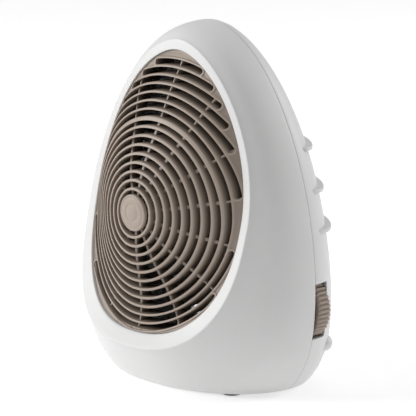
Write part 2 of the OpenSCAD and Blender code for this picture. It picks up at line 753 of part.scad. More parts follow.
front_shell();
grille();
hub_cap();
rear_shell();
foot_pads();
thermostat_wheel();
thermostat_spindle();
thermostat_body();
thermostat_bracket();
selector_wheel();
selector_spindle();
selector_switch();
selector_bracket();
heater_frame();
ceramic_stones();
heater_fins();
heater_electrodes();
heater_clips();
thermal_cutout();
thermal_fuse();
fan_duct();
fan_rotor();
fan_clip();
motor_shaft();
motor_rotor();
motor_stator();
motor_coil();
motor_front_bearing();
motor_rear_bearing();
motor_bracket();
motor_screws();
duct_screws();
shell_screws();
bracket_screws();
tilt_switch();
terminal_block();
cord_bush();
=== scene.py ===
"""Looks of a free-standing ceramic fan heater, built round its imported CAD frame.

The frame is in metres, with +Z up and the grille towards -Y. Sizes here are in millimetres unless
they say otherwise, and new_piece turns them into metres.
"""

import math

import bmesh
import bpy
import numpy as np
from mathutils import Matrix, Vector
from mathutils.geometry import delaunay_2d_cdt


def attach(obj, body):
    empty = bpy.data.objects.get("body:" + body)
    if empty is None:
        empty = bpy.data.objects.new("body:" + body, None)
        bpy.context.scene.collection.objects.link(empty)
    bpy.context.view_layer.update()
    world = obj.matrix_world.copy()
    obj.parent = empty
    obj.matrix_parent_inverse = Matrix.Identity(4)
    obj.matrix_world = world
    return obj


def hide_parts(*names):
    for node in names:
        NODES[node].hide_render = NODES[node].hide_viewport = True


bl_info = {
    "name": "Ceramic fan heater",
    "version": (1, 0, 0),
    "blender": (4, 5, 0),
    "location": "View3D > Sidebar > Heater",
    "description": "Builds the shells, grille, wheels and finishes of a ceramic fan heater",
    "category": "Object",
}

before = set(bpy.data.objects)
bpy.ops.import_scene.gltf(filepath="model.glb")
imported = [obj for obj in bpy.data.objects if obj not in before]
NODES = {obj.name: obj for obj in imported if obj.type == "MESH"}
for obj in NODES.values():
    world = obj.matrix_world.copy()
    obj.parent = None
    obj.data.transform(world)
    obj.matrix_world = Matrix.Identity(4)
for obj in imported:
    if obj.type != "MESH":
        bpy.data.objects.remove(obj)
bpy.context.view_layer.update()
MM = 0.001
CASING = "casing"

# Casing. An outline is half width, middle height, reach up, reach down, and its powers up and down.
FRONT_Y = -74.5
SEAM_Y = 12.5
REAR_DEPTH = 62.0
FLOOR_Z = 1.5
HUB_Z = 134.0
WALL = 2.5
BASE_T = 2.5
EDGE = (88.5, 134.0, 125.0, 100.5, 1.78, 2.7)
OPENING = (81.1, 135.5, 115.9, 92.0, 1.81, 2.49)
SEAM = (114.5, 79.0, 191.0, 103.0, 1.87, 2.43)
EDGE_BOTTOM = 33.5
OPENING_BOTTOM = 43.5
FACE_LEAN = 0.24
FACE_BEND = 0.00234
OPEN_LEAN = 0.22
OPEN_SINK = 7.1
SIDE_OUT, SIDE_FALL, SIDE_SQUARE = 0.24, 0.68, 0.76
BACK_DROP = 80.0
BACK_POWER = 1.95

# Grille.
DOME_Y = -68.0
DOME_LEAN = 0.0675
DOME_X, DOME_UP, DOME_DOWN = 0.00464, 0.00337, 0.00116
DOME_EDGE_POWER = 12
DOME_EDGE_STEP = 1.0
HUB_R = 11.75
FULL_SLOTS = 10
TOP_RING = 16
LOW_RING = 12
WEB, THIN_WEB = 2.3, 1.1
SPOKES = 14
RING_OUT = 0.8
OUTER_SQUEEZE = 0.5
RING_DROP = 0.2
DOME_BELLY, BELLY_AT, BELLY_WIDE = 4.3, 66.0, 27.0
# Name of the point attribute whose depth drives the grille's painted shade.
SHADE_ATTRIBUTE = "sunk"

# Thumbwheels, ribs, heels and the openings of the rear shell.
WHEEL_X, WHEEL_Y, WHEEL_Z = 92.5, 15.5, 66.0
WHEEL_R, WHEEL_T = 24.5, 10.8
RIB_AT = (184.0, 154.0, 125.0)
RIB_PROUD = 4.3
HEEL_AT = (96.0, 38.0, 35.0)
HEEL_R = (6.5, 7.0, 6.5)
WINDOW_EASE = 1.6
WINDOW_X = (94.5, 130.0)
WINDOW_Y = (SEAM_Y - 3, 27.0)
WINDOW_Z = (WHEEL_Z - WHEEL_R + 3, WHEEL_Z + WHEEL_R - 3)
SCREW_WELLS = ((60.0, 215.0), (69.5, 24.5))
WELL_R, WELL_SEAT = 3.6, 24.5
INTAKE_SLOTS, INTAKE_Z, INTAKE_PITCH = 15, 92.0, 7.5
INTAKE_HALF_W, INTAKE_HALF_H, INTAKE_REACH = 52.5, 2.0, 66.0
BUSH_X, BUSH_Z, BUSH_R = -40.0, 27.0, 7.1
TOOL_END_Y = 90.0

# Crease angles in degrees, and how finely an outline is divided.
SHELL_CREASE, GRILLE_CREASE, DISC_CREASE = 50, 40, 60
SHELL_POINTS, BORDER_POINTS, SKIRT_POINTS = 420, 520, 300
SEAM_ROUNDING = 0.8

# Painted shade of the grille: brightness of the blades' roots by channel, and how fast the painted
# shade darkens them.
ROOT_SHADE_TINT = (0.24, 0.22, 0.2)
ROOT_SHADE_POWER = 3.4

# Stage, in metres and watts: name, place, size, power.
LAMPS = (
    ("key", (-1.7, -1.7, 1.0), 1.2, 46.0),
    ("back", (0.9, 2.2, 1.3), 1.2, 26.0),
    ("top", (0.0, 0.2, 2.2), 2.0, 13.0),
)
LAMP_AIM = (0, 0, 0.13)
WORLD_LIGHT = 0.3
FLOOR_R = 9000.0
FLOOR_GLOW = 0.4
LENS, SENSOR = 368.65, 36.0
CAMERA_AIM = (0.0855, -0.068, 0.1535)
CAMERA_SIDE = (0.7276, -0.6442, 0.2357)
CAMERA_AWAY = 3.095


def outline(shape, angle, inset=0.0):
    """Points of an egg-shaped outline at the given angles."""
    half, mid, up, down, n_up, n_down = shape
    c, s = np.cos(angle), np.sin(angle)
    power = np.where(s >= 0, 2 / n_up, 2 / n_down)
    reach = np.where(s >= 0, up - inset, down - inset)
    x = (half - inset) * np.sign(c) * np.abs(c) ** power
    return x, mid + reach * np.sign(s) * np.abs(s) ** power


def even_angles(shape, count):
    """Angles that divide an outline into equal lengths, starting at its right end."""
    fine = np.linspace(0, 2 * math.pi, 20001)
    x, z = outline(shape, fine)
    run = np.concatenate([[0], np.cumsum(np.hypot(np.diff(x), np.diff(z)))])
    return np.interp(np.linspace(0, run[-1], count + 1)[:-1], run, fine)


def soften(values, spread=1.6):
    """Rounds the slight peak of an outline over its neighbours."""
    reach = 5
    steps = np.arange(-reach, reach + 1)
    weights = np.exp(-0.5 * (steps / spread) ** 2)
    return sum(w * np.roll(values, k, axis=0) for k, w in zip(steps, weights)) / weights.sum()


def points(x, y, z):
    """Stacks coordinates into one array of points."""
    return np.stack(np.broadcast_arrays(x, y, z), axis=-1).astype(float)


def opening_y(x, z):
    """Depth of the grille opening's edge."""
    return FRONT_Y + OPEN_SINK + OPEN_LEAN * (z - OPENING_BOTTOM) + FACE_BEND * x * x


def opening_line(angle, inset=0.0):
    """Edge of the grille opening."""
    x, z = outline(OPENING, angle, inset)
    return soften(points(x, opening_y(x, z), z))


def edge_line(angle, inset=0.0):
    """Front edge line of the casing."""
    x, z = outline(EDGE, angle, inset)
    return soften(points(x, FRONT_Y + FACE_LEAN * (z - EDGE_BOTTOM) + FACE_BEND * x * x, z))


def seam_line(angle, inset=0.0):
    """Parting line of the two shells."""
    x, z = outline(SEAM, angle, inset)
    return soften(points(x, SEAM_Y, z))


def side_rows(angle, steps, inset=0.0):
    """Rows of the side surface from the edge line to the parting line."""
    start = edge_line(angle, inset) + [0, inset, 0]
    end = seam_line(angle, inset)
    d = end - start
    first = start + d * [SIDE_OUT, SIDE_OUT * SIDE_FALL, SIDE_OUT]
    second = end - d * [0, SIDE_SQUARE, 0]
    rows = []
    for s in np.linspace(0, 1, steps + 1):
        t = 1 - s
        rows.append(t**3 * start + 3 * t * t * s * first + 3 * t * s * s * second + s**3 * end)
    return rows


def back_point(angle, q, inset=0.0):
    """Row of the back surface; q runs from 0 on the parting line to a right angle at the back."""
    x, z = outline(SEAM, angle, inset)
    base = soften(points(x, SEAM_Y, z))
    c = math.cos(q) ** (2 / BACK_POWER) if q < math.pi / 2 - 1e-9 else 0.0
    d = math.sin(q) ** (2 / BACK_POWER)
    mid = SEAM[1]
    height = mid - BACK_DROP * (1 - c) + (base[:, 2] - mid) * c
    return points(base[:, 0] * c, SEAM_Y + (REAR_DEPTH - inset) * d, height)


def egg_reach(x, z):
    """How far a point lies towards the opening's edge, from 0 to 1."""
    half, mid, up, down, n_up, n_down = OPENING
    v = z - mid
    n = np.where(v >= 0, n_up, n_down)
    reach = np.where(v >= 0, up, down)
    return np.minimum(1, ((np.abs(x) / half) ** n + (np.abs(v) / reach) ** n) ** (1 / n))


def dome(x, z):
    """Depth of the ring dome's front."""
    v = z - HUB_Z
    y = DOME_Y + DOME_LEAN * v + np.where(v > 0, DOME_UP, DOME_DOWN) * v * v + DOME_X * x * x
    y = y + DOME_BELLY * np.exp(-(((np.hypot(x, v) - BELLY_AT) / BELLY_WIDE) ** 2))
    return y + (opening_y(x, z) + DOME_EDGE_STEP - y) * egg_reach(x, z) ** DOME_EDGE_POWER


def round_corner(before, corner, after, radius, steps=4):
    """Rows that replace a corner row with a soft bend."""

    def towards(other):
        d = other - corner
        size = np.maximum(np.linalg.norm(d, axis=1, keepdims=True), 1e-6)
        return corner + d / size * np.minimum(radius, size * 0.45)

    a, b = towards(before), towards(after)
    share = np.linspace(0, 1, steps + 1)
    return [(1 - u) ** 2 * a + 2 * u * (1 - u) * corner + u * u * b for u in share]


def on_floor(row, lift):
    """Keeps a row of an inner surface above the base plate."""
    out = row.copy()
    out[:, 2] = np.maximum(out[:, 2], FLOOR_Z + lift)
    return out


def new_piece(name, verts, faces, smooth=35, body=CASING, slot=None, stands_for=()):
    """Makes an object from points in millimetres; edges sharper than the angle stay crisp."""
    mesh = bpy.data.meshes.new(name)
    mesh.from_pydata([tuple(v) for v in np.asarray(verts, float) * MM], [], faces)
    mesh.validate()
    work = bmesh.new()
    work.from_mesh(mesh)
    bmesh.ops.remove_doubles(work, verts=work.verts, dist=1e-6)
    bmesh.ops.recalc_face_normals(work, faces=work.faces)
    work.to_mesh(mesh)
    work.free()
    obj = bpy.data.objects.new(name, mesh)
    bpy.context.scene.collection.objects.link(obj)
    crease(mesh, smooth)
    if body:
        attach(obj, body)
    if stands_for:
        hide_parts(*stands_for)
    return obj


def crease(mesh, angle):
    """Smooth shading with crisp edges above an angle in degrees."""
    mesh.shade_smooth()
    mesh.set_sharp_from_angle(angle=math.radians(angle))


def grid_faces(rows, count, closed_rows=False, start=0):
    """Quads between successive rows of closed loops."""
    last = rows if closed_rows else rows - 1
    out = []
    for i in range(last):
        a, b = start + i * count, start + ((i + 1) % rows) * count
        for j in range(count):
            k = (j + 1) % count
            out.append((a + j, a + k, b + k, b + j))
    return out


class Solid:
    """Collects loops, tubes and plates into one mesh."""

    def __init__(self):
        self.verts, self.faces = [], []

    def loops(self, rows, closed=False, cap_start=False, cap_end=False):
        start, count = len(self.verts), len(rows[0])
        for row in rows:
            self.verts.extend(np.asarray(row, float).tolist())
        self.faces += grid_faces(len(rows), count, closed, start)
        if cap_start:
            self.faces.append(tuple(range(start, start + count)))
        if cap_end:
            end = start + (len(rows) - 1) * count
            self.faces.append(tuple(range(end + count - 1, end - 1, -1)))
        return self

    def piece(self, node, ending, angle, slot, body=CASING):
        """Makes the piece that stands for a node."""
        name = node + ending
        return new_piece(name, self.verts, self.faces, angle, body, slot, (node,))

    def turned(self, profile, centre, steps=96):
        """Revolves (radius, y) pairs round an axis along Y through centre (x, z)."""
        a = np.linspace(0, 2 * math.pi, steps, endpoint=False)
        rows = [points(centre[0] + r * np.cos(a), y, centre[1] + r * np.sin(a)) for r, y in profile]
        return self.loops(rows, cap_start=True, cap_end=True)


def cut(obj, cutter, angle=35):
    """Takes one closed mesh out of another and removes the cutter."""
    tool = obj.modifiers.new("cut", "BOOLEAN")
    tool.operation = "DIFFERENCE"
    tool.solver = "MANIFOLD"
    tool.object = cutter
    graph = bpy.context.evaluated_depsgraph_get()
    made = bpy.data.meshes.new_from_object(obj.evaluated_get(graph))
    obj.modifiers.clear()
    old = obj.data
    obj.data = made
    bpy.data.meshes.remove(old)
    bpy.data.objects.remove(cutter)
    if not made.polygons:
        raise RuntimeError(f"the cut left nothing of {obj.name}")
    crease(made, angle)


def trim_base(obj, angle=35):
    """Cuts a shell level with the base plane and closes it."""
    work = bmesh.new()
    work.from_mesh(obj.data)
    made = bmesh.ops.bisect_plane(
        work,
        geom=work.verts[:] + work.edges[:] + work.faces[:],
        dist=1e-7,
        plane_co=(0, 0, FLOOR_Z * MM),
        plane_no=(0, 0, 1),
        clear_inner=True,
    )
    rim = [e for e in made["geom_cut"] if isinstance(e, bmesh.types.BMEdge) and e.is_boundary]
    bmesh.ops.edgeloop_fill(work, edges=rim)
    bmesh.ops.recalc_face_normals(work, faces=work.faces)
    work.to_mesh(obj.data)
    work.free()
    crease(obj.data, angle)


# ---------------------------------------------------------------- finishes


class Wire:
    """A node socket that takes part in arithmetic."""

    def __init__(self, finish, socket):
        self.finish, self.socket = finish, socket

    def _math(self, operation, a, b):
        return self.finish.add("ShaderNodeMath", {"operation": operation}, {0: a, 1: b})

    def __add__(self, other):
        return self._math("ADD", self, other)

    def __radd__(self, other):
        return self._math("ADD", other, self)

    def __sub__(self, other):
        return self._math("SUBTRACT", self, other)

    def __rsub__(self, other):
        return self._math("SUBTRACT", other, self)

    def __mul__(self, other):
        return self._math("MULTIPLY", self, other)

    def __rmul__(self, other):
        return self._math("MULTIPLY", other, self)

    def __pow__(self, other):
        return self._math("POWER", self, other)


class Finish:
    """A procedural material with one Principled shader."""

    def __init__(self, name, **constants):
        self.material = bpy.data.materials.new(name)
        self.material.use_nodes = True
        self.tree = self.material.node_tree
        self.tree.nodes.clear()
        output = self.tree.nodes.new("ShaderNodeOutputMaterial")
        self.shader = self.tree.nodes.new("ShaderNodeBsdfPrincipled")
        self.tree.links.new(self.shader.outputs["BSDF"], output.inputs["Surface"])
        for socket, value in constants.items():
            self.shader.inputs[socket.replace("_", " ")].default_value = value
        self.where = self.add("ShaderNodeTexCoord", {}, {}, "Object")

    def add(self, kind, settings, sockets, out=0):
        """Adds a node, sets it, then its sockets, and returns one output."""
        node = self.tree.nodes.new(kind)
        for key, value in settings.items():
            if key == "stops":
                ramp = node.color_ramp
                while len(ramp.elements) < len(value):
                    ramp.elements.new(0.5)
                for element, (place, colour) in zip(ramp.elements, value):
                    element.position, element.color = place, colour
            else:
                setattr(node, key, value)
        for key, value in sockets.items():
            if isinstance(value, Wire):
                self.tree.links.new(value.socket, node.inputs[key])
            else:
                node.inputs[key].default_value = value
        return Wire(self, node.outputs[out])

    def noise(self, scale, detail=3.0, rough=0.55, where=None):
        sockets = {"Vector": where or self.where, "Scale": scale, "Detail": detail, "Roughness": rough}
        return self.add("ShaderNodeTexNoise", {}, sockets)

    def stretched(self, factors):
        return self.add("ShaderNodeVectorMath", {"operation": "MULTIPLY"}, {0: self.where, 1: factors})

    def mix(self, factor, a, b):
        return self.add("ShaderNodeMix", {"data_type": "RGBA"}, {0: factor, 6: a, 7: b}, 2)

    def ramp(self, factor, low, high):
        stops = [(low, (0, 0, 0, 1)), (high, (1, 1, 1, 1))]
        return self.add("ShaderNodeValToRGB", {"stops": stops}, {0: factor})

    def bump(self, height, strength, distance):
        sockets = {"Height": height, "Strength": strength, "Distance": distance}
        self.feed("Normal", self.add("ShaderNodeBump", {}, sockets))

    def feed(self, socket, wire):
        self.tree.links.new(wire.socket, self.shader.inputs[socket])


def tint(colour, factor):
    """A colour scaled in brightness, with full alpha."""
    return tuple(min(1.0, c * factor) for c in colour[:3]) + (1.0,)


def moulded(name, colour, roughness, grain=0.06, grain_scale=2600, shade=0.05, **constants):
    """Injection-moulded plastic: spark-eroded grain, slow flow marks and faint rubbed patches."""
    f = Finish(name, IOR=1.47, **constants)
    flow = f.noise(18, 4, 0.6)
    patch = f.noise(95, 3, 0.6)
    fine = f.noise(grain_scale, 2, 0.6)
    coarse = f.noise(grain_scale * 0.22, 3, 0.6)
    blend = f.ramp(flow * 0.65 + patch * 0.35, 0.35, 0.68)
    f.feed("Base Color", f.mix(blend, tint(colour, 1 - shade), tint(colour, 1 + shade * 0.4)))
    f.feed("Roughness", f.ramp(patch, 0.2, 0.85) * 0.1 + fine * 0.05 + (roughness - 0.07))
    f.bump(fine * 0.7 + coarse * 0.5, grain, 0.0002)
    return f.material


def painted_shade_plastic(name, colour, roughness):
    """Moulded plastic of the grille, made browner and duller towards the roots of its blades by painted
    shade.
    """
    f = Finish(name, IOR=1.47)
    flow = f.noise(18, 4, 0.6)
    patch = f.noise(95, 3, 0.6)
    fine = f.noise(2800, 2, 0.6)
    coarse = f.noise(620, 3, 0.6)
    # The depth attribute drives painted shade: the base colour darkens towards the blades' roots, where
    # shade falls.
    sunk = f.add("ShaderNodeAttribute", {"attribute_name": SHADE_ATTRIBUTE}, {}, "Fac")
    shown = (1 - sunk) ** ROOT_SHADE_POWER
    blend = f.ramp(flow * 0.65 + patch * 0.35, 0.35, 0.68)
    face = f.mix(blend, tint(colour, 0.95), tint(colour, 1.03))
    # Colour of the painted shade at the roots.
    root_shade = tuple(c * k for c, k in zip(colour, ROOT_SHADE_TINT)) + (1.0,)
    f.feed("Base Color", f.mix(shown, root_shade, face))
    f.feed("Roughness", f.ramp(patch, 0.2, 0.85) * 0.1 + fine * 0.05 + (roughness - 0.07))
    f.bump(fine * 0.7 + coarse * 0.5, 0.06, 0.0002)
    return f.material


def sheet_metal(name, colour, roughness, along=(30, 30, 900), scratch=0.08, **constants):
    """Rolled or turned metal with drawn streaks, dull spots and fine scratches."""
    f = Finish(name, Metallic=1.0, **constants)
    streak = f.noise(1.0, 4, 0.65, f.stretched(along))
    spot = f.noise(160, 3, 0.5)
    blend = f.ramp(streak * 0.6 + spot * 0.4, 0.35, 0.7)
    f.feed("Base Color", f.mix(blend, tint(colour, 0.82), tint(colour, 1.08)))
    f.feed("Roughness", streak * 0.16 + spot * 0.12 + (roughness - 0.14))
    f.bump(streak, scratch, 0.0002)
    return f.material


def banded(name, colour, roughness, direction, scale, depth, metallic=0.0):
    """Stacked sheets or wound wire: fine even lines with small irregularities."""
    f = Finish(name, Metallic=metallic)
    kind = {"wave_type": "BANDS", "bands_direction": direction}
    sockets = {"Vector": f.where, "Scale": scale, "Distortion": 0.6, "Detail": 2.0, "Detail Scale": 3.0}
    lines = f.add("ShaderNodeTexWave", kind, sockets, 1)
    stain = f.noise(120, 4, 0.6)
    blend = f.ramp(lines * 0.7 + stain * 0.4, 0.2, 0.8)
    f.feed("Base Color", f.mix(blend, tint(colour, 0.55), tint(colour, 1.1)))
    f.feed("Roughness", stain * 0.2 + (roughness - 0.1))
    f.bump(lines, depth, 0.0003)
    return f.material


def fired(name, colour, roughness):
    """Unglazed ceramic: chalky tone, pores and a dry surface."""
    f = Finish(name)
    pores = f.add("ShaderNodeTexVoronoi", {"feature": "F1"}, {"Vector": f.where, "Scale": 900.0}, 0)
    cloud = f.noise(70, 5, 0.6)
    f.feed("Base Color", f.mix(f.ramp(cloud, 0.3, 0.7), tint(colour, 0.85), tint(colour, 1.05)))
    f.feed("Roughness", cloud * 0.15 + (roughness - 0.07))
    f.bump(pores * 0.6 + cloud * 0.4, 0.15, 0.0003)
    return f.material


def soft_rubber(name, colour):
    """Black elastomer with a powdery bloom."""
    f = Finish(name, Specular_IOR_Level=0.35)
    bloom = f.noise(140, 4, 0.65)
    fine = f.noise(1800, 2, 0.5)
    f.feed("Base Color", f.mix(f.ramp(bloom, 0.4, 0.75), tint(colour, 0.9), tint(colour, 1.9)))
    f.feed("Roughness", bloom * 0.15 + 0.68)
    f.bump(fine, 0.12, 0.0002)
    return f.material


# ---------------------------------------------------------------- settings


class HeaterSettings(bpy.types.PropertyGroup):
    """Sizes and colours a user may change."""

    ring_pitch: bpy.props.FloatProperty(
        name="Ring spacing", description="Distance between grille rings", default=0.0065, unit="LENGTH"
    )
    ring_width: bpy.props.FloatProperty(
        name="Ring width", description="Width of a ring's front edge", default=0.0016, unit="LENGTH"
    )
    blade_depth: bpy.props.FloatProperty(
        name="Blade depth", description="Depth of the grille's blades", default=0.014, unit="LENGTH"
    )
    wheel_ridges: bpy.props.IntProperty(
        name="Wheel ridges", description="Ridges round each thumbwheel", default=42, min=8
    )
    shell_colour: bpy.props.FloatVectorProperty(
        name="Casing",
        description="Colour of the two shells",
        size=3,
        subtype="COLOR",
        default=(0.68, 0.68, 0.677),
    )
    grille_colour: bpy.props.FloatVectorProperty(
        name="Grille",
        description="Colour of the grille and wheels",
        size=3,
        subtype="COLOR",
        default=(0.36, 0.295, 0.245),
    )
    floor_colour: bpy.props.FloatVectorProperty(
        name="Floor",
        description="Colour of the floor",
        size=3,
        subtype="COLOR",
        default=(0.8, 0.8, 0.8),
    )


def settings():
    """The heater's settings in this scene."""
    return bpy.context.scene.heater


def material(name):
    """The finish of that name, made when first asked for."""
    found = bpy.data.materials.get(name)
    return found if found else MAKERS[name]()


def taupe():
    """Colour shared by the grille, hub disc and wheels."""
    return tuple(settings().grille_colour)


def white():
    """Colour of the two shells."""
    return tuple(settings().shell_colour)


MAKERS = {
    "white_casing": lambda: moulded("white_casing", white(), 0.46, 0.05, 2400, 0.02),
    "taupe_grille_painted_shade": lambda: painted_shade_plastic("taupe_grille_painted_shade", taupe(), 0.48),
    "taupe_disc": lambda: moulded("taupe_disc", taupe(), 0.46, 0.06, 2800, 0.05),
    "taupe_wheel": lambda: moulded("taupe_wheel", taupe(), 0.44, 0.06, 2400, 0.08),
    "dark_plastic": lambda: moulded("dark_plastic", (0.09, 0.078, 0.066), 0.5, 0.1, 1800, 0.2),
    "fan_plastic": lambda: moulded("fan_plastic", (0.06, 0.06, 0.062), 0.38, 0.06, 1800, 0.2),
    "switch_plastic": lambda: moulded("switch_plastic", (0.02, 0.02, 0.02), 0.28, 0.04, 1500, 0.2),
    "terminal_plastic": lambda: moulded("terminal_plastic", (0.72, 0.71, 0.67), 0.42, 0.05, 1500, 0.06),
    "zinc_steel": lambda: sheet_metal("zinc_steel", (0.6, 0.6, 0.63), 0.38),
    "core_steel": lambda: banded("core_steel", (0.3, 0.31, 0.33), 0.5, "Y", 620, 0.5, 0.9),
    "cast_alloy": lambda: sheet_metal("cast_alloy", (0.55, 0.55, 0.57), 0.55, (220, 220, 220), 0.2),
    "brass": lambda: sheet_metal("brass", (0.78, 0.6, 0.3), 0.3, (40, 900, 40)),
    "fin_alloy": lambda: sheet_metal("fin_alloy", (0.8, 0.8, 0.82), 0.34, (500, 40, 40)),
    "copper_coil": lambda: banded("copper_coil", (0.55, 0.22, 0.08), 0.35, "Z", 480, 0.6, 0.6),
    "steatite": lambda: fired("steatite", (0.72, 0.69, 0.62), 0.75),
    "grey_ceramic": lambda: fired("grey_ceramic", (0.3, 0.28, 0.27), 0.8),
    "black_rubber": lambda: soft_rubber("black_rubber", (0.02, 0.02, 0.02)),
}

NODE_FINISH = {
    "dark_plastic": ("heater_frame", "fan_duct"),
    "fan_plastic": ("fan_rotor",),
    "switch_plastic": ("selector_switch", "tilt_switch"),
    "terminal_plastic": ("terminal_block",),
    "zinc_steel": (
        "thermostat_bracket",
        "selector_bracket",
        "heater_clips",
        "thermal_cutout",
        "thermal_fuse",
        "fan_clip",
        "motor_shaft",
        "motor_bracket",
        "motor_screws",
        "duct_screws",
        "shell_screws",
        "bracket_screws",
    ),
    "core_steel": ("motor_rotor", "motor_stator"),
    "cast_alloy": ("motor_front_bearing", "motor_rear_bearing"),
    "brass": ("thermostat_spindle", "selector_spindle", "heater_electrodes"),
    "fin_alloy": ("heater_fins",),
    "copper_coil": ("motor_coil",),
    "steatite": ("thermostat_body",),
    "grey_ceramic": ("ceramic_stones",),
    "black_rubber": ("cord_bush", "foot_pads"),
}


def paint(obj, name):
    """Gives an object one finish."""
    made = material(name)
    if obj.data.materials:
        for place in obj.material_slots:
            place.link = "OBJECT"
            place.material = made
    else:
        obj.data.materials.append(made)


# ---------------------------------------------------------------- pieces


class HEATER_OT_front_shell(bpy.types.Operator):
    """Front shell with the pale band round the grille opening"""

    bl_idname = "heater.front_shell"
    bl_label = "Front shell"

    def execute(self, context):
        a = even_angles(EDGE, SHELL_POINTS)
        opening, edge, seam = opening_line(a), edge_line(a), seam_line(a)
        lip = opening + [0, WALL, 0]
        side = side_rows(a, 26)
        inner = [on_floor(r, BASE_T) for r in side_rows(a, 8, WALL)]
        seam_in = on_floor(seam_line(a, WALL), BASE_T)
        band = [opening + (edge - opening) * k for k in (0.25, 0.5, 0.75)]
        rows = [lip]
        rows += round_corner(lip, opening, edge, 0.7)
        rows += band
        rows += round_corner(opening, edge, side[1], 1.3, 6)
        rows += side[1:-1]
        rows += round_corner(side[-2], seam, seam_in, SEAM_ROUNDING)
        rows += inner[::-1]
        rows += [on_floor(lip, BASE_T)]
        solid = Solid().loops(rows, closed=True)
        piece = solid.piece("front_shell", "_skin", SHELL_CREASE, "shell_white")
        trim_base(piece, SHELL_CREASE)
        paint(piece, "white_casing")
        return {"FINISHED"}


def rounded_slot(cutter, centre, half_w, half_h, y0, y1, steps=8):
    """A stadium-shaped tool that runs along Y."""
    ring = []
    for side in (1, -1):
        for k in side * np.linspace(-math.pi / 2, math.pi / 2, steps):
            x = side * (half_w - half_h) + side * half_h * math.cos(k)
            ring.append((x, side * half_h * math.sin(k)))
    ring = np.array(ring)
    rows = [points(centre[0] + ring[:, 0], y, centre[1] + ring[:, 1]) for y in (y0, y1)]
    cutter.loops(rows, cap_start=True, cap_end=True)


def rounded_box(cutter, low, high, radius, steps=5):
    """A box tool with its edges along X rounded."""
    y0, y1, z0, z1 = low[1], high[1], low[2], high[2]
    ring = []
    for cy, cz, start in ((y1, z1, 0), (y0, z1, 90), (y0, z0, 180), (y1, z0, 270)):
        sy, sz = (1 if cy == y1 else -1), (1 if cz == z1 else -1)
        for k in np.linspace(start, start + 90, steps):
            t = math.radians(k)
            y, z = cy - sy * radius, cz - sz * radius
            ring.append((y + radius * math.cos(t), z + radius * math.sin(t)))
    ring = np.array(ring)
    rows = [points(x, ring[:, 0], ring[:, 1]) for x in (low[0], high[0])]
    cutter.loops(rows, cap_start=True, cap_end=True)


def back_curve(height, proud, q0, steps=70):
    """Points round the back at one height, with outward normals and a tapered height of rib."""
    right = np.linspace(-math.pi / 2, math.pi / 2, 1201)
    share = (height - SEAM[1] + BACK_DROP) / (BACK_DROP + SEAM[2])
    q1 = math.acos(share ** (BACK_POWER / 2))
    half = []
    for k in np.linspace(0, math.pi / 2, steps)[:-1]:
        row = back_point(right, q0 + (q1 - q0) * math.sin(k))
        order = np.argsort(row[:, 2])
        half.append((np.interp(height, row[order, 2], row[order, 0]), row[0, 1]))
    half.append((0.0, SEAM_Y + REAR_DEPTH * math.sin(q1) ** (2 / BACK_POWER)))
    half = np.array(half)
    path = np.vstack([half, half[::-1][1:] * [-1, 1]])
    run = np.concatenate([[0], np.cumsum(np.hypot(*np.diff(path, axis=0).T))])
    even = np.linspace(0, run[-1], 90)
    path = np.stack([np.interp(even, run, path[:, 0]), np.interp(even, run, path[:, 1])], axis=1)
    tangent = np.gradient(path, axis=0)
    normal = np.stack([tangent[:, 1], -tangent[:, 0]], axis=1)
    normal /= np.linalg.norm(normal, axis=1, keepdims=True)
    normal *= np.sign((normal * (path - [0, SEAM_Y - 30])).sum(axis=1, keepdims=True))
    taper = np.clip(np.minimum(even, run[-1] - even) / 9.0, 0.0, 1.0) ** 0.5
    return path, normal, proud * taper[:, None]


